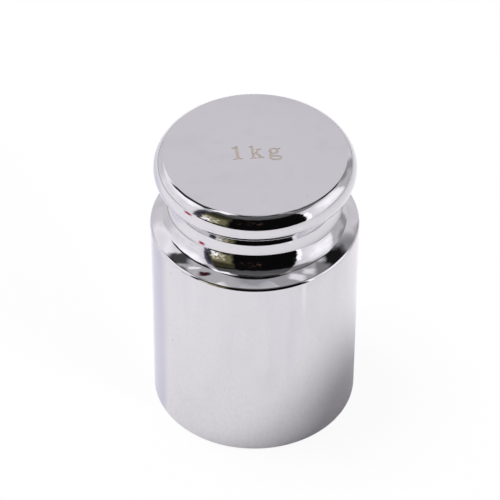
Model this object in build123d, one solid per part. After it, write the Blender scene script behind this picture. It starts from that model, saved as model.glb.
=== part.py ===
"""Calibration weight of 1 kg: one chrome-plated steel turning with a rolled knob.

Millimetres, +Z up. The origin is the centre of the base, on the face that the weight
stands on, and the turning axis is Z. The whole weight is one revolved profile: above
the cylinder it is a sloping ring, then a chain of tangent arcs up to the flat top.
The chain is drawn from the corner of the shoulder, and the cylinder takes what is left
of the overall height.
"""
from build123d import *
import math
import os

# ---- driving dimensions -------------------------------------------------------------

body_diameter = 49.0          # cylinder that holds nearly all of the mass
overall_height = 73.0         # base to flat top
base_edge_chamfer = 0.5       # edge that meets the balance pan

shoulder_edge_radius = 1.0    # rounded edge between the cylinder and the sloping ring
shoulder_ring_width = 3.0     # sloping ring, measured along the radius
shoulder_ring_slope = 27.0    # degrees down from the cove to the edge

neck_depth = 6.2              # cylinder wall in to the waist of the neck
shoulder_cove_radius = 6.8    # neck below the waist, down to the sloping ring
neck_flare_radius = 9.0       # neck above the waist, where it opens more slowly
neck_flare_angle = 20.0       # degrees of that arc
knob_cove_radius = 3.07       # tighter cove from the flare to the underside of the knob

knob_inset = 1.05             # the knob is this much slimmer than the body, each side
rim_roll_radius = 4.45        # rolled rim of the knob
flat_top_inset = 2.25         # widest part of the rim in to the crisp edge of the flat top

# ---- derived sizes, with heights above the corner of the shoulder ---------------------

half_turn = 180
body_radius = body_diameter / 2
neck_radius = body_radius - neck_depth
knob_radius = body_radius - knob_inset
flat_top_radius = knob_radius - flat_top_inset

shoulder_corner = Vector(body_radius, 0)
ring_inner_radius = body_radius - shoulder_ring_width
ring_rise = shoulder_ring_width * math.tan(math.radians(shoulder_ring_slope))
ring_inner_corner = Vector(ring_inner_radius, ring_rise)


def reach(radius, angle):
    """From the centre of a circle to its point at an angle in degrees."""
    return Vector(radius, 0).rotate(Axis.Z, angle)


# Shoulder cove: it passes through the inner corner of the ring and is upright at the waist.
cove_centre_radius = neck_radius + shoulder_cove_radius
cove_foot_angle = math.degrees(math.acos((cove_centre_radius - ring_inner_radius) / shoulder_cove_radius))
waist_height = ring_rise + reach(shoulder_cove_radius, cove_foot_angle).Y
shoulder_cove_centre = Vector(cove_centre_radius, waist_height)

# Flare: upright at the waist too, turned the other way up.
flare_centre = Vector(neck_radius + neck_flare_radius, waist_height)
flare_end_angle = half_turn - neck_flare_angle

# Knob cove: tangent to the end of the flare, so the two centres lie on one radius.
knob_cove_centre = flare_centre + reach(neck_flare_radius - knob_cove_radius, flare_end_angle)

# Rolled rim: it touches the knob cove from outside and is widest at knob_radius.
roll_centre_radius = knob_radius - rim_roll_radius
cove_to_roll = knob_cove_radius + rim_roll_radius
roll_foot_angle = math.degrees(math.acos((roll_centre_radius - knob_cove_centre.X) / cove_to_roll))
roll_centre = knob_cove_centre + reach(cove_to_roll, roll_foot_angle)
roll_crest_angle = math.degrees(math.acos((flat_top_radius - roll_centre_radius) / rim_roll_radius))

knob_height = roll_centre.Y + reach(rim_roll_radius, roll_crest_angle).Y
body_height = overall_height - knob_height


def turned_profile():
    """Half section of the weight, drawn from the base centre up to the top centre."""
    with BuildSketch(Plane.XZ) as section:
        with BuildLine():
            base = Line((0, -body_height), (body_radius, -body_height))
            Line(base @ 1, shoulder_corner)
            Line(shoulder_corner, ring_inner_corner)
            CenterArc(shoulder_cove_centre, shoulder_cove_radius, half_turn, cove_foot_angle)
            CenterArc(flare_centre, neck_flare_radius, flare_end_angle, neck_flare_angle)
            CenterArc(
                knob_cove_centre,
                knob_cove_radius,
                roll_foot_angle,
                flare_end_angle - roll_foot_angle,
            )
            rim = CenterArc(
                roll_centre,
                rim_roll_radius,
                roll_foot_angle - half_turn,
                half_turn - roll_foot_angle + roll_crest_angle,
            )
            flat = Line(rim @ 1, (0, knob_height))
            Line(flat @ 1, base @ 0)
        make_face()
        chamfer(section.vertices().sort_by_distance(base @ 1)[0], base_edge_chamfer)
        fillet(section.vertices().sort_by_distance(shoulder_corner)[0], shoulder_edge_radius)
    return section.sketch


def turn_weight():
    """The profile revolved about the turning axis, standing on its base."""
    weight = revolve(turned_profile(), axis=Axis.Z, revolution_arc=360)
    return weight.moved(Location((0, 0, body_height)))


os.makedirs("parts", exist_ok=True)
export_step(turn_weight(), "parts/weight_body.step")
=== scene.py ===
"""Looks of the 1 kg calibration weight: chrome-plated turning, etched mark, light tent.

Metres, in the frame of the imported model: +Z up, origin at the centre of the base.
"""
import math

import bpy
from mathutils import Matrix, Vector
from mathutils.geometry import delaunay_2d_cdt


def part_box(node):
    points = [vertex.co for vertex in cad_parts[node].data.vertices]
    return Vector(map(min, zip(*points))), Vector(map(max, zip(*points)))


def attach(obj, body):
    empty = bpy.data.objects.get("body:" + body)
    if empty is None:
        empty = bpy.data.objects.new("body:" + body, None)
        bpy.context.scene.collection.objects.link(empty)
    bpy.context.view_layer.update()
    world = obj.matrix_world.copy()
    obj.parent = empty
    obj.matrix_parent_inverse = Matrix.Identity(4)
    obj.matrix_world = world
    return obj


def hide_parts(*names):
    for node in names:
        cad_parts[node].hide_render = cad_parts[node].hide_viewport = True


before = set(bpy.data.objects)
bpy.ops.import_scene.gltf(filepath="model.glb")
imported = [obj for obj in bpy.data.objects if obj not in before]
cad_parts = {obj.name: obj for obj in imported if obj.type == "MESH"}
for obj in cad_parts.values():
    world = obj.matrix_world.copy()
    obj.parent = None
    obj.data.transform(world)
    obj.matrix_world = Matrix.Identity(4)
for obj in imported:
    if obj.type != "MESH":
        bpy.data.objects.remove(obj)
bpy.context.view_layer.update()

MM = 0.001

# ---- turned profile: outer sizes from the frame, the rest as the weight is dimensioned ----
node_low, node_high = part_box("weight_body")
BODY_RADIUS = node_high.x
OVERALL_HEIGHT = node_high.z
BASE_EDGE_CHAMFER = 0.5 * MM
SHOULDER_EDGE_RADIUS = 1.0 * MM
SHOULDER_RING_WIDTH = 3.0 * MM     # sloping ring, measured along the radius
SHOULDER_RING_SLOPE = math.radians(27)
SHOULDER_RING_CROWN = math.radians(2.2)   # polishing has rounded the ring by this much each way
NECK_DEPTH = 6.2 * MM              # cylinder wall in to the waist of the neck
SHOULDER_COVE_RADIUS = 6.8 * MM    # neck below the waist
NECK_FLARE_RADIUS = 9.0 * MM       # neck above the waist
NECK_FLARE_ANGLE = math.radians(20)
KNOB_COVE_RADIUS = 3.07 * MM       # from the flare to the underside of the knob
KNOB_INSET = 1.05 * MM
RIM_ROLL_RADIUS = 4.45 * MM
FLAT_TOP_INSET = 2.25 * MM         # widest part of the knob in to the crisp edge of the flat

NECK_RADIUS = BODY_RADIUS - NECK_DEPTH
KNOB_RADIUS = BODY_RADIUS - KNOB_INSET
FLAT_TOP_RADIUS = KNOB_RADIUS - FLAT_TOP_INSET

SECTORS = 256                      # facets round the axis
ARC_STEP = math.radians(2.5)       # largest turn of the profile between two points of an arc


def arc_run(centre, radius, start, end, hollow=False):
    """(point, outward normal) pairs along an arc; a hollow arc faces its own centre."""
    steps = max(2, math.ceil(abs(end - start) / ARC_STEP))
    facing = -1 if hollow else 1
    run = []
    for i in range(steps + 1):
        angle = start + (end - start) * i / steps
        out = Vector((math.cos(angle), math.sin(angle)))
        run.append((Vector(centre) + radius * out, facing * out))
    return run


def line_run(start, end):
    """The two ends of a straight stretch, with the normal on the right of the way."""
    start, end = Vector(start), Vector(end)
    along = (end - start).normalized()
    normal = Vector((along.y, -along.x))
    return [(start, normal), (end, normal)]


def crowned_run(start, end, crown):
    """A nearly straight stretch that bulges, its normals turning by crown each way of square."""
    start, end = Vector(start), Vector(end)
    along = (end - start).normalized()
    normal = Vector((along.y, -along.x))
    radius = (end - start).length / (2 * math.sin(crown))
    centre = (start + end) / 2 - normal * radius * math.cos(crown)
    facing = math.atan2(normal.y, normal.x)
    return arc_run(centre, radius, facing - crown, facing + crown)


def polar(radius, angle):
    """From the centre of a circle to its point at an angle."""
    return Vector((radius * math.cos(angle), radius * math.sin(angle)))


def turned_runs():
    """The profile from the base centre up to the edge of the flat top, run by run.

    Heights start at the corner of the shoulder and are raised to the overall height at the end.
    """
    upright = math.pi
    ring_normal = math.pi / 2 - SHOULDER_RING_SLOPE
    ring_inner = Vector((
        BODY_RADIUS - SHOULDER_RING_WIDTH, SHOULDER_RING_WIDTH * math.tan(SHOULDER_RING_SLOPE)))

    cove_x = NECK_RADIUS + SHOULDER_COVE_RADIUS
    foot = math.acos((cove_x - ring_inner.x) / SHOULDER_COVE_RADIUS)
    waist = ring_inner.y + polar(SHOULDER_COVE_RADIUS, foot).y
    cove = Vector((cove_x, waist))
    flare = Vector((NECK_RADIUS + NECK_FLARE_RADIUS, waist))
    flare_end = upright - NECK_FLARE_ANGLE
    knob_cove = flare + polar(NECK_FLARE_RADIUS - KNOB_COVE_RADIUS, flare_end)
    roll_x = KNOB_RADIUS - RIM_ROLL_RADIUS
    apart = KNOB_COVE_RADIUS + RIM_ROLL_RADIUS
    meet = math.acos((roll_x - knob_cove.x) / apart)
    roll = knob_cove + polar(apart, meet)
    crest = math.acos((FLAT_TOP_RADIUS - roll_x) / RIM_ROLL_RADIUS)
    knob_height = roll.y + polar(RIM_ROLL_RADIUS, crest).y
    body_height = OVERALL_HEIGHT - knob_height

    edge_centre = Vector((
        BODY_RADIUS - SHOULDER_EDGE_RADIUS, -SHOULDER_EDGE_RADIUS * math.tan(ring_normal / 2)))
    shoulder_edge = arc_run(edge_centre, SHOULDER_EDGE_RADIUS, 0, ring_normal)
    base_inner = (BODY_RADIUS - BASE_EDGE_CHAMFER, -body_height)
    base_outer = (BODY_RADIUS, BASE_EDGE_CHAMFER - body_height)
    runs = [
        line_run((0, -body_height), base_inner),
        line_run(base_inner, base_outer),
        line_run(base_outer, shoulder_edge[0][0]),
        shoulder_edge,
        crowned_run(shoulder_edge[-1][0], ring_inner, SHOULDER_RING_CROWN),
        arc_run(cove, SHOULDER_COVE_RADIUS, upright + foot, upright, hollow=True),
        arc_run(flare, NECK_FLARE_RADIUS, upright, flare_end, hollow=True),
        arc_run(knob_cove, KNOB_COVE_RADIUS, flare_end, meet, hollow=True),
        arc_run(roll, RIM_ROLL_RADIUS, meet - math.pi, crest),
    ]
    raised = Vector((0, body_height))
    return [[(point + raised, normal) for point, normal in run] for run in runs]


TURNS = [2 * math.pi * k / SECTORS for k in range(SECTORS)]


# Material slots of the weight.
PLATED = 0
ETCHED = 1


class Shell:
    """Vertices, faces, one normal for each face corner, and a material for each face."""

    def __init__(self):
        self.verts = []
        self.faces = []
        self.normals = []
        self.materials = []

    def circle(self, radius, height):
        """A ring of vertices; returns the index of its first one."""
        first = len(self.verts)
        self.verts += [(radius * math.cos(t), radius * math.sin(t), height) for t in TURNS]
        return first

    def face(self, corners, normals, material=PLATED):
        self.faces.append(tuple(corners))
        self.normals += [tuple(n) for n in normals]
        self.materials.append(material)


def turned(normal, k):
    """A profile normal carried round to sector k."""
    turn = TURNS[k % SECTORS]
    return (normal.x * math.cos(turn), normal.x * math.sin(turn), normal.y)


def revolve(shell, runs):
    """Adds the profile turned about Z; returns the ring at its upper end."""
    shell.verts.append((0, 0, 0))
    ring = None
    for run in runs:
        for (start, start_normal), (end, end_normal) in zip(run, run[1:]):
            next_ring = shell.circle(end.x, end.y)
            for k in range(SECTORS):
                after = (k + 1) % SECTORS
                if ring is None:
                    shell.face((0, next_ring + after, next_ring + k), [(0, 0, -1)] * 3)
                else:
                    shell.face(
                        (ring + k, ring + after, next_ring + after, next_ring + k),
                        (turned(start_normal, k), turned(start_normal, k + 1),
                         turned(end_normal, k + 1), turned(end_normal, k)),
                    )
            ring = next_ring
    return ring


# ---- the etched mark ----
MARK_HEIGHT = 4.6 * MM
MARK_DEPTH = 0.06 * MM
INSIDE_BOUNDARY = 1                # Blender's setting that keeps the triangles within the rim
MERGE_DISTANCE = 1e-9              # points of the outlines closer than this become one

# Outlines in units of the mark's height, foot of each character at y = 0.
ONE = [
    (0.12, 0.0), (0.60, 0.0), (0.60, 0.05), (0.48, 0.07), (0.45, 0.12), (0.45, 1.0),
    (0.37, 1.0), (0.13, 0.88), (0.14, 0.82), (0.29, 0.84), (0.29, 0.12), (0.26, 0.07),
    (0.12, 0.05),
]
KAY = [
    (0.02, 0.0), (0.33, 0.0), (0.33, 0.05), (0.27, 0.06), (0.25, 0.10), (0.25, 0.29),
    (0.30, 0.34), (0.44, 0.11), (0.43, 0.05), (0.39, 0.05), (0.39, 0.0), (0.71, 0.0),
    (0.71, 0.05), (0.64, 0.07), (0.60, 0.12), (0.39, 0.45), (0.51, 0.60), (0.58, 0.64),
    (0.65, 0.65), (0.65, 0.70), (0.36, 0.70), (0.36, 0.65), (0.43, 0.63), (0.42, 0.58),
    (0.25, 0.38), (0.25, 0.97), (0.21, 0.97), (0.02, 0.92), (0.02, 0.88), (0.10, 0.88),
    (0.12, 0.84), (0.12, 0.10), (0.10, 0.06), (0.02, 0.05),
]


def ellipse(centre, reach, points=28):
    """A closed ellipse as a list of points."""
    steps = [2 * math.pi * i / points for i in range(points)]
    return [(centre[0] + reach[0] * math.cos(t), centre[1] + reach[1] * math.sin(t)) for t in steps]


def gee():
    """A double-storey g: bowl, ear, link and lower loop. Each item is (outline, is it a hole)."""
    return [
        (ellipse((0.27, 0.70), (0.25, 0.23)), False),
        (ellipse((0.27, 0.70), (0.11, 0.15)), True),
        ([(0.42, 0.80), (0.49, 0.89), (0.61, 0.93), (0.63, 0.85), (0.56, 0.83), (0.49, 0.74)], False),
        ([(0.10, 0.53), (0.21, 0.49), (0.17, 0.42), (0.25, 0.38), (0.48, 0.36), (0.48, 0.25),
          (0.12, 0.27), (0.04, 0.35), (0.04, 0.44)], False),
        (ellipse((0.36, 0.19), (0.33, 0.19)), False),
        (ellipse((0.36, 0.19), (0.22, 0.085)), True),
    ]


GLYPHS = [
    # outlines, left edge and foot on the flat top, lean to the left
    ([(ONE, False)], (-5.5 * MM, -2.45 * MM), math.radians(8)),
    ([(KAY, False)], (-1.15 * MM, -2.0 * MM), math.radians(7)),
    (gee(), (3.15 * MM, -2.5 * MM), math.radians(3)),
]


def inside(point, outline):
    """Whether a point lies in a closed outline, by the crossings of a ray to its right."""
    crossings = 0
    for (ax, ay), (bx, by) in zip(outline, outline[1:] + outline[:1]):
        if (ay > point[1]) != (by > point[1]):
            if point[0] < ax + (point[1] - ay) / (by - ay) * (bx - ax):
                crossings += 1
    return crossings % 2 == 1


def placed(outline, foot, lean):
    """An outline scaled, leaned and moved to its place on the flat top, in metres."""
    cos, sin = math.cos(lean), math.sin(lean)
    return [
        (foot[0] + MARK_HEIGHT * (x * cos - y * sin), foot[1] + MARK_HEIGHT * (x * sin + y * cos))
        for x, y in outline
    ]


def mark_shapes():
    """One list of (outline, is it a hole) for each character, in its place on the flat top."""
    return [
        [(placed(outline, foot, lean), is_hole) for outline, is_hole in outlines]
        for outlines, foot, lean in GLYPHS
    ]


def marked(point, shapes):
    """Whether a point of the flat top lies in one of the characters."""
    for outlines in shapes:
        if any(inside(point, line) for line, is_hole in outlines if is_hole):
            continue
        if any(inside(point, line) for line, is_hole in outlines if not is_hole):
            return True
    return False


def triangulate_flat_top(shell, rim, shapes):
    """Points, triangles turned face up, and for each point the rim vertices it came from."""
    points = [Vector(shell.verts[rim + k][:2]) for k in range(SECTORS)]
    edges = [(k, (k + 1) % SECTORS) for k in range(SECTORS)]
    for outlines in shapes:
        for line, _ in outlines:
            first = len(points)
            points += [Vector(p) for p in line]
            edges += [(first + i, first + (i + 1) % len(line)) for i in range(len(line))]
    flat_points, _, triangles, origins, _, _ = delaunay_2d_cdt(
        points, edges, [], INSIDE_BOUNDARY, MERGE_DISTANCE)
    face_up = []
    for triangle in triangles:
        a, b, c = (flat_points[i] for i in triangle)
        face_up.append(triangle if (b - a).cross(c - a) >= 0 else triangle[::-1])
    return flat_points, face_up, origins


def cap_flat_top(shell, rim):
    """Fills the flat top from the ring of vertices rim, with the mark sunk into it."""
    shapes = mark_shapes()
    points, triangles, origins = triangulate_flat_top(shell, rim, shapes)

    on_top = {}
    for i, origin in enumerate(origins):
        rim_corner = next((k for k in origin if k < SECTORS), None)
        if rim_corner is not None:
            on_top[i] = rim + rim_corner
        else:
            on_top[i] = len(shell.verts)
            shell.verts.append((*points[i], OVERALL_HEIGHT))
    sunk = {}

    def below(i):
        """The vertex under point i on the floor of the mark, made when first asked for."""
        if i not in sunk:
            sunk[i] = len(shell.verts)
            shell.verts.append((*points[i], OVERALL_HEIGHT - MARK_DEPTH))
        return sunk[i]

    up = (0, 0, 1)
    floor_edges = []
    for triangle in triangles:
        if marked(sum((points[i] for i in triangle), Vector((0, 0))) / 3, shapes):
            shell.face([below(i) for i in triangle], [up] * 3, ETCHED)
            floor_edges += zip(triangle, triangle[1:] + triangle[:1])
        else:
            shell.face([on_top[i] for i in triangle], [up] * 3, PLATED)

    shared = set(floor_edges)
    for i, j in floor_edges:
        if (j, i) in shared:
            continue
        along = (points[j] - points[i]).normalized()
        facing = (-along.y, along.x, 0)
        shell.face((on_top[i], on_top[j], below(j), below(i)), [facing] * 4, ETCHED)


def build_weight():
    """The whole turning as one closed mesh that stands for the CAD node."""
    shell = Shell()
    cap_flat_top(shell, revolve(shell, turned_runs()))
    mesh = bpy.data.meshes.new("weight_turning")
    mesh.from_pydata(shell.verts, [], shell.faces)
    mesh.polygons.foreach_set("material_index", shell.materials)
    mesh.polygons.foreach_set("use_smooth", [True] * len(shell.faces))
    mesh.normals_split_custom_set(shell.normals)
    weight = bpy.data.objects.new("weight_turning", mesh)
    bpy.context.collection.objects.link(weight)
    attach(weight, "root")
    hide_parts("weight_body")
    return weight


# ---- node helpers ----

class Graph:
    """Short calls for adding nodes to one node tree."""

    def __init__(self, tree):
        self.tree = tree
        tree.nodes.clear()

    def node(self, kind, settings=None, inputs=None):
        made = self.tree.nodes.new(kind)
        for name, value in (settings or {}).items():
            setattr(made, name, value)
        for name, value in (inputs or {}).items():
            self.feed(made.inputs[name], value)
        return made

    def feed(self, socket, value):
        if isinstance(value, bpy.types.NodeSocket):
            self.tree.links.new(value, socket)
        else:
            socket.default_value = value

    def maths(self, operation, *values):
        made = self.node("ShaderNodeMath", {"operation": operation})
        for socket, value in zip(made.inputs, values):
            self.feed(socket, value)
        return made.outputs[0]

    def ramp(self, value, start, end, low=0.0, high=1.0):
        """Smooth step from low to high as value goes from start to end."""
        made = self.node("ShaderNodeMapRange", {"interpolation_type": "SMOOTHSTEP"}, {
            "Value": value, "From Min": start, "From Max": end, "To Min": low, "To Max": high,
        })
        return made.outputs["Result"]

    def band(self, value, start, end, soft):
        """1 between start and end, fading to 0 over soft, centred on each end."""
        rising = self.ramp(value, start - soft / 2, start + soft / 2)
        falling = self.ramp(value, end - soft / 2, end + soft / 2, 1.0, 0.0)
        return self.maths("MULTIPLY", rising, falling)

    def cloud(self, place, features, stretch=(1, 1, 1), detail=2.0):
        """Noise from 0 to 1 whose features are this long, in the units of place."""
        scaled = self.node("ShaderNodeMapping", inputs={"Vector": place, "Scale": stretch})
        return self.node("ShaderNodeTexNoise", inputs={
            "Vector": scaled.outputs[0], "Scale": 1 / features, "Detail": detail,
        }).outputs["Fac"]

    def bump(self, height, distance, normal=None):
        """A normal tilted by a height from 0 to 1 that stands for this distance."""
        inputs = {"Height": height, "Strength": 1.0, "Distance": distance}
        if normal is not None:
            inputs["Normal"] = normal
        return self.node("ShaderNodeBump", inputs=inputs).outputs[0]

    def bearing(self, x, y):
        """Degrees round from the front (-Y), positive to the right."""
        angle = self.maths("ARCTAN2", x, self.maths("MULTIPLY", y, -1))
        return self.maths("MULTIPLY", angle, 180 / math.pi)

    def mix(self, factor, below, above):
        """Colour mix: below where factor is 0, above where it is 1."""
        made = self.node("ShaderNodeMix", {"data_type": "RGBA"}, {"Factor": factor})
        for socket, value in zip([s for s in made.inputs if s.type == "RGBA"], (below, above)):
            self.feed(socket, value)
        return next(s for s in made.outputs if s.type == "RGBA")


def new_material(name):
    """An empty node material and the graph to fill it with."""
    material = bpy.data.materials.new(name)
    material.use_nodes = True
    return material, Graph(material.node_tree)


# Detail of the plate, metres.
SMUDGE_SIZE = 0.016
STREAK_WIDTH = 0.0045
STREAK_STRETCH = 0.08              # a streak is about a dozen times as long as it is wide
SPECK_SPACING = 0.006
SPECK_SIZE = 0.00028
WAVE_LENGTH = 0.009
WAVE_HEIGHT = 0.000008
PEEL_SIZE = 0.0011
PEEL_HEIGHT = 0.0000006
ETCH_GRAIN = 0.00035

PLATE_COLOUR = (0.700, 0.694, 0.714, 1)
WIPED_COLOUR = (0.672, 0.668, 0.700, 1)
SMUDGE_COLOUR = (0.640, 0.632, 0.655, 1)
SPECK_COLOUR = (0.30, 0.28, 0.27, 1)
SMUDGE_COVER = 0.6
SPECK_COVER = 0.7
SPECKS_KEPT = (0.70, 0.72)         # a cell holds a speck if its random draw passes this step
PLATE_ROUGHNESS = 0.03
SMUDGE_ROUGHNESS = 0.05            # added to the plate's
WIPED_ROUGHNESS = 0.03
SPECK_ROUGHNESS = 0.3

ETCH_DARK = (0.44, 0.385, 0.33, 1)
ETCH_LIGHT = (0.60, 0.54, 0.47, 1)
ETCH_ROUGHNESS = (0.48, 0.62)
ETCH_METALLIC = 0.6


def chrome_plate():
    """Bright nickel-chrome plate: slow waves, orange peel, wiped streaks, smudges, a few specks."""
    material, graph = new_material("chrome_plate")
    place = graph.node("ShaderNodeTexCoord").outputs["Object"]

    smudges = graph.ramp(graph.cloud(place, SMUDGE_SIZE, detail=4.0), 0.52, 0.74)
    streaks = graph.cloud(place, STREAK_WIDTH, stretch=(1, 1, STREAK_STRETCH))
    wiped = graph.ramp(streaks, 0.50, 0.80)
    cells = graph.node("ShaderNodeTexVoronoi", inputs={"Vector": place, "Scale": 1 / SPECK_SPACING})
    draws = graph.node("ShaderNodeSeparateColor", inputs={"Color": cells.outputs["Color"]}).outputs
    chosen = graph.ramp(draws[0], *SPECKS_KEPT)
    speck_radius = SPECK_SIZE / SPECK_SPACING
    near = graph.ramp(cells.outputs["Distance"], 0.4 * speck_radius, speck_radius, 1.0, 0.0)
    specks = graph.maths("MULTIPLY", chosen, near)

    colour = graph.mix(wiped, PLATE_COLOUR, WIPED_COLOUR)
    colour = graph.mix(graph.maths("MULTIPLY", smudges, SMUDGE_COVER), colour, SMUDGE_COLOUR)
    colour = graph.mix(graph.maths("MULTIPLY", specks, SPECK_COVER), colour, SPECK_COLOUR)
    roughness = PLATE_ROUGHNESS
    for marks, amount in (
            (smudges, SMUDGE_ROUGHNESS), (wiped, WIPED_ROUGHNESS), (specks, SPECK_ROUGHNESS)):
        roughness = graph.maths("ADD", roughness, graph.maths("MULTIPLY", marks, amount))

    waves = graph.bump(graph.cloud(place, WAVE_LENGTH, detail=1.0), WAVE_HEIGHT)
    peel = graph.bump(graph.cloud(place, PEEL_SIZE, detail=1.0), PEEL_HEIGHT, waves)
    shader = graph.node("ShaderNodeBsdfPrincipled", inputs={
        "Base Color": colour, "Metallic": 1.0, "Roughness": roughness, "Normal": peel,
    })
    graph.node("ShaderNodeOutputMaterial", inputs={"Surface": shader.outputs[0]})
    return material


def etched_mark():
    """Matte tan floor of the etched characters, mottled by the acid."""
    material, graph = new_material("etched_mark")
    place = graph.node("ShaderNodeTexCoord").outputs["Object"]
    mottle = graph.cloud(place, ETCH_GRAIN, detail=3.0)
    shader = graph.node("ShaderNodeBsdfPrincipled", inputs={
        "Base Color": graph.mix(graph.ramp(mottle, 0.35, 0.65), ETCH_DARK, ETCH_LIGHT),
        "Metallic": ETCH_METALLIC,
        "Roughness": graph.ramp(mottle, 0.3, 0.7, *ETCH_ROUGHNESS),
        "Normal": graph.bump(mottle, 0.1 * ETCH_GRAIN),
    })
    graph.node("ShaderNodeOutputMaterial", inputs={"Surface": shader.outputs[0]})
    return material


weight = build_weight()
weight.data.materials.append(chrome_plate())
weight.data.materials.append(etched_mark())


# ---- table top ----
TABLE_FRONT = -0.285
TABLE_REACH = 3.0
TABLE_WEAVE = 0.02                 # size of its slow mottle
TABLE_GRAIN = 0.0013
WEAVE_LIGHT = (0.895, 0.885, 0.90, 1)
WEAVE_DARK = (0.87, 0.86, 0.88, 1)
GRAIN_COLOUR = (0.74, 0.73, 0.74, 1)
GRAIN_COVER = 0.22
WHITE_TO_CAMERA = 0.93             # share of the table that only camera rays see as plain white

# Marks placed where the weight in the photo mirrors them. The metal shows them, and the camera hardly
# does.
# A painted shadow and a painted glint in the table's colour, with a red patch for something lying on
# it.
TABLE_PAINTED_SHADOW_GLINT_AND_RED = [
    # hub; bearings round it and softness, degrees; distances from it and softness; colour
    ((-0.0187, -0.0133), (-156, -120, 22), (-0.1, 0.3, 0.1), (0.71, 0.70, 0.78, 1)),  # second shadow
    ((0.0025, -0.0156), (54, 59, 3), (0.057, 0.085, 0.012), (0.97, 0.96, 0.97, 1)),   # glint
    ((0, 0), (-73, -65, 5), (0.20, 0.40, 0.08), (0.40, 0.03, 0.07, 1)),               # something red
]


def build_table():
    """A white sheet that the weight stands on, ending at the open front of the tent."""
    mesh = bpy.data.meshes.new("table_top")
    mesh.from_pydata(
        [(-TABLE_REACH, TABLE_FRONT, 0), (TABLE_REACH, TABLE_FRONT, 0),
         (TABLE_REACH, TABLE_REACH, 0), (-TABLE_REACH, TABLE_REACH, 0)],
        [], [(0, 1, 2, 3)],
    )
    table = bpy.data.objects.new("table_top", mesh)
    bpy.context.collection.objects.link(table)
    material, graph = new_material("white_table")
    paths = graph.node("ShaderNodeLightPath")
    place = graph.node("ShaderNodeTexCoord").outputs["Object"]
    x, y, _ = graph.node("ShaderNodeSeparateXYZ", inputs={"Vector": place}).outputs
    weave = graph.cloud(place, TABLE_WEAVE, detail=3.0)
    grain = graph.cloud(place, TABLE_GRAIN, detail=1.0)
    colour = graph.mix(graph.ramp(weave, 0.35, 0.70), WEAVE_LIGHT, WEAVE_DARK)
    colour = graph.mix(graph.ramp(grain, 0.40, 0.65, 0.0, GRAIN_COVER), colour, GRAIN_COLOUR)
    # Paints the painted shadow, the painted glint and the red patch into the table's colour.
    for hub, bearings, distances, tint in TABLE_PAINTED_SHADOW_GLINT_AND_RED:
        across = graph.maths("SUBTRACT", x, hub[0])
        along = graph.maths("SUBTRACT", y, hub[1])
        distance = graph.maths("SQRT", graph.maths(
            "ADD", graph.maths("MULTIPLY", across, across), graph.maths("MULTIPLY", along, along)))
        cover = graph.maths(
            "MULTIPLY", graph.band(graph.bearing(across, along), *bearings),
            graph.band(distance, *distances))
        colour = graph.mix(cover, colour, tint)
    diffuse = graph.node("ShaderNodeBsdfDiffuse", inputs={"Color": colour})
    glow = graph.node("ShaderNodeEmission", inputs={"Color": (1, 1, 1, 1), "Strength": 1.0})
    share = graph.maths("MULTIPLY", paths.outputs["Is Camera Ray"], WHITE_TO_CAMERA)
    both = graph.node("ShaderNodeMixShader", inputs={"Fac": share})
    graph.feed(both.inputs[1], diffuse.outputs[0])
    graph.feed(both.inputs[2], glow.outputs[0])
    graph.node("ShaderNodeOutputMaterial", inputs={"Surface": both.outputs[0]})
    mesh.materials.append(material)


build_table()

# ---- light tent, seen by direction: azimuth 0 is the front (-Y), positive to the right ----
WHITE = (1.0, 0.985, 1.02)
COOL = (0.98, 0.97, 1.05)
SLATE = (0.84, 0.80, 1.05)
CREAM = (1.0, 0.92, 0.67)
OLIVE = (1.0, 0.93, 0.51)
SKIN = (1.0, 0.52, 0.38)
RED = (1.0, 0.20, 0.30)
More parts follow.
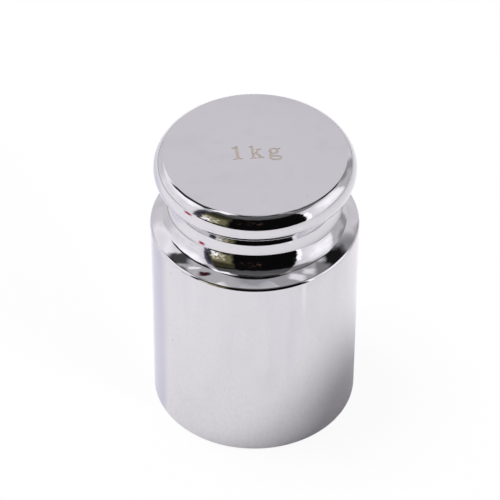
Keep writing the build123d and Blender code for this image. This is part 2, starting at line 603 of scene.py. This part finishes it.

# Directions and brightnesses were set from readings of the reflections in the photo, traced back
# through the fitted camera. Only the metal and the table see them: camera rays see plain white.
TENT = [
    # azimuth range, elevation range, softness of each, tint, brightness, how broken up (0 is whole)
    ((-124, -64), (-30, 50), (20, 5), WHITE, 1.04, 0),          # left wall
    ((-116, -74), (30, 50), (12, 16), WHITE, 1.45, 0),          # its lit top
    ((-150, -118), (-20, 24), (16, 16), WHITE, 0.80, 0),        # dim rear left
    ((-138, -116), (24, 44), (8, 6), WHITE, 1.17, 0),           # the brighter cloth over it
    ((58, 110), (-30, 44), (8, 10), WHITE, 1.00, 0),            # right wall
    ((72, 104), (4, 36), (20, 16), WHITE, 1.35, 0),             # its lit middle
    ((107, 132), (-16, 40), (6, 10), WHITE, 0.62, 0),           # rear right
    ((128, 137), (-14, 26), (5, 10), WHITE, 0.40, 0),           # fold in the cloth
    ((118, 131), (20, 45), (10, 8), WHITE, 0.34, 0),            # shade in the right rear corner
    ((116, 126), (38, 48), (6, 5), WHITE, 0.13, 0),
    ((-112, -60), (50, 60), (6, 4), WHITE, 0.55, 0),            # canopy on the left, low
    ((-112, -34), (60, 90), (6, 4), WHITE, 0.56, 0),            # and high
    ((-69, -42), (58, 72), (5, 4), WHITE, 1.45, 0),             # lit patch of it
    ((54, 112), (46, 61), (6, 6), WHITE, 0.27, 0),              # canopy on the right, low
    ((54, 112), (61, 90), (4, 4), WHITE, 0.45, 0),              # and high
    ((80, 92), (64, 72), (3, 3), WHITE, 1.10, 0),               # lit patches of it
    ((95, 103), (60, 66), (3, 3), WHITE, 1.00, 0),
    ((66, 76), (59, 64), (3, 3), WHITE, 0.80, 0),
    ((-119, -107.5), (44, 56), (3, 4), WHITE, 0.07, 0),         # corner pole, left
    ((-96, -90), (62.5, 67), (2, 2), RED, 0.05, 0),             # seam beside it
    ((-103, -100), (55, 64), (1.5, 3), WHITE, 1.20, 0),         # bright edge of the cloth
    ((108.5, 123), (41, 54.5), (4, 4), WHITE, 0.012, 0),        # corner pole, right
    ((-60, 54), (48, 62), (6, 5), WHITE, 0.11, 0),              # unlit front of the canopy
    ((-40, 54), (60, 66), (8, 4), WHITE, 0.13, 0),
    ((-34, 50), (65.5, 73), (8, 2), WHITE, 0.05, 0),            # its hem
    ((-36, 52), (74, 80), (6, 3), WHITE, 0.62, 0),              # canopy above the front
    ((-181, 181), (80, 91), (1, 5), COOL, 0.43, 0),             # ceiling
    ((-60, 53.5), (-40, 50), (2, 4), WHITE, 0.004, 0),          # open front and the dark room
    ((-58, -26), (-12, 46), (3, 5), OLIVE, 0.05, 0),            # lit furniture beyond
    ((-56, -29), (-10, 29), (4, 8), OLIVE, 0.20, 0),
    ((-55, -37), (-3, 22), (4, 6), CREAM, 0.78, 0.42),
    ((-54, -46), (-2, 12), (3, 4), WHITE, 1.45, 0.36),
    ((-57, -46), (-12, -3), (3, 2), WHITE, 0.02, 0),            # shade under it
    ((-43, -30), (-9, -2), (3, 3), WHITE, 0.03, 0),
    ((-18, 10), (17, 36), (8, 8), SKIN, 0.11, 0.55),            # hands behind the camera
    ((53.7, 60), (-30, 33), (0.8, 6), WHITE, 1.45, 0),          # front pole, right
    ((-65, -56.5), (-4, 48), (4, 6), SLATE, 0.12, 0),           # front pole, left
    ((-61, -57.5), (10, 40), (3, 8), SLATE, 0.04, 0),           # its shaded side
]
RAIL = [
    # the same, with the elevation measured up from the curved top rail of the tent
    ((-116, -71), (-12, 0.8), (6, 4), WHITE, 0.02, 0),
    ((62, 100), (-9, 0.8), (10, 3), WHITE, 0.11, 0),
    ((96, 118), (-9, 0.8), (6, 3), WHITE, 0.012, 0),
]
RAIL_TOP = 78.9                    # elevation of the rail straight ahead, degrees
RAIL_FALL = 0.00264                # its fall to the sides, degrees for each square degree of azimuth
REAR_WALL = (0.815, 0.795, 0.835, 1)
FOLD_SCALE = 6.0                   # wrinkles in the cloth, in features to a unit of direction
FOLD_DEGREES = 3.0                 # how far they shift the edges
FOLD_SHADE = 0.12                  # and how much they darken it
CLUTTER_SCALE = 15.0               # size of the pieces of what is broken up
CLUTTER_EDGE = 0.12                # and how soft their edges are

KEY_SIZE = 0.35
KEY_WATTS = 6.6
KEY_BEARING = math.radians(-103)
KEY_HEIGHT = math.radians(76)
KEY_DISTANCE = 1.0


def tinted(tint, brightness):
    """A colour for a shader socket."""
    return (*(channel * brightness for channel in tint), 1)


def build_tent():
    """The world: the patches painted over one another by direction, and white to the camera."""
    world = bpy.data.worlds.new("light_tent")
    bpy.context.scene.world = world
    world.use_nodes = True
    graph = Graph(world.node_tree)
    direction = graph.node("ShaderNodeTexCoord").outputs["Generated"]
    x, y, z = graph.node("ShaderNodeSeparateXYZ", inputs={"Vector": direction}).outputs
    azimuth = graph.bearing(x, y)
    elevation = graph.maths("MULTIPLY", graph.maths("ARCSINE", z), 180 / math.pi)

    folds = graph.node("ShaderNodeTexNoise", inputs={"Vector": direction, "Scale": FOLD_SCALE})
    sideways, upwards, shade = graph.node(
        "ShaderNodeSeparateColor", inputs={"Color": folds.outputs["Color"]}).outputs
    azimuth = graph.maths("ADD", azimuth, graph.ramp(
        sideways, 0.25, 0.75, -FOLD_DEGREES / 2, FOLD_DEGREES / 2))
    elevation = graph.maths("ADD", elevation, graph.ramp(
        upwards, 0.25, 0.75, -FOLD_DEGREES / 2, FOLD_DEGREES / 2))
    clutter = graph.node(
        "ShaderNodeTexNoise", inputs={"Vector": direction, "Scale": CLUTTER_SCALE}).outputs["Fac"]

    rail = graph.maths("SUBTRACT", RAIL_TOP, graph.maths(
        "MULTIPLY", graph.maths("MULTIPLY", azimuth, azimuth), RAIL_FALL))
    above_rail = graph.maths("SUBTRACT", elevation, rail)

    colour = REAR_WALL
    patches = [(elevation, patch) for patch in TENT] + [(above_rail, patch) for patch in RAIL]
    for height, (azimuths, heights, (soft_azimuth, soft_height), tint, brightness, broken) in patches:
        across = graph.band(azimuth, *azimuths, soft_azimuth)
        up = graph.band(height, *heights, soft_height)
        cover = graph.maths("MULTIPLY", across, up)
        if broken:
            cover = graph.maths("MULTIPLY", cover, graph.ramp(clutter, broken, broken + CLUTTER_EDGE))
        colour = graph.mix(cover, colour, tinted(tint, brightness))
    colour = graph.mix(graph.ramp(shade, 0.35, 0.75, 0.0, FOLD_SHADE), colour, (0, 0, 0, 1))
    seen = graph.node("ShaderNodeLightPath").outputs["Is Camera Ray"]
    colour = graph.mix(seen, colour, (1, 1, 1, 1))
    light = graph.node("ShaderNodeBackground", inputs={"Color": colour, "Strength": 1.0})
    graph.node("ShaderNodeOutputWorld", inputs={"Surface": light.outputs[0]})


def build_key():
    """The one lamp: it throws the soft shadow that the weight mirrors at its lower right."""
    lamp = bpy.data.lights.new("key", "AREA")
    lamp.shape = "DISK"
    lamp.size = KEY_SIZE
    lamp.energy = KEY_WATTS
    key = bpy.data.objects.new("key", lamp)
    bpy.context.collection.objects.link(key)
    out = Vector((math.sin(KEY_BEARING), -math.cos(KEY_BEARING), 0))
    away = math.cos(KEY_HEIGHT) * out + Vector((0, 0, math.sin(KEY_HEIGHT)))
    key.location = away * KEY_DISTANCE
    key.rotation_mode = "QUATERNION"
    key.rotation_quaternion = away.to_track_quat("Z", "Y")
    key.visible_glossy = False


build_tent()
build_key()

# ---- camera ----
SENSOR = 36.0
FRAME_PIXELS = 500
FOCAL_PIXELS = 2778.4
DISTANCE = 26.958 * BODY_RADIUS
ELEVATION = math.radians(43.2)
LOOK_AT = Vector((0, 0, 1.5 * BODY_RADIUS))
LOOK_AT_PIXEL = (254.68, 268.67)
ROLL = math.radians(0.22)
CLIP_START = 0.05


def build_camera():
    """The photograph's view, aimed so that LOOK_AT lands on its pixel of the frame."""
    data = bpy.data.cameras.new("camera")
    data.sensor_width = SENSOR
    data.lens = FOCAL_PIXELS * SENSOR / FRAME_PIXELS
    data.clip_start = CLIP_START
    camera = bpy.data.objects.new("camera", data)
    bpy.context.collection.objects.link(camera)
    back = Vector((0, -math.cos(ELEVATION), math.sin(ELEVATION)))
    right = Vector((1, 0, 0))
    up = back.cross(right)
    per_pixel = DISTANCE / FOCAL_PIXELS
    middle = FRAME_PIXELS / 2
    aim = (
        LOOK_AT
        - right * (LOOK_AT_PIXEL[0] - middle) * per_pixel
        + up * (LOOK_AT_PIXEL[1] - middle) * per_pixel
    )
    camera.location = LOOK_AT + back * DISTANCE
    view = (camera.location - aim).to_track_quat("Z", "Y").to_matrix()
    camera.rotation_mode = "QUATERNION"
    camera.rotation_quaternion = (view @ Matrix.Rotation(ROLL, 3, "Z")).to_quaternion()
    bpy.context.scene.camera = camera


build_camera()
bpy.context.scene.view_settings.view_transform = "Standard"
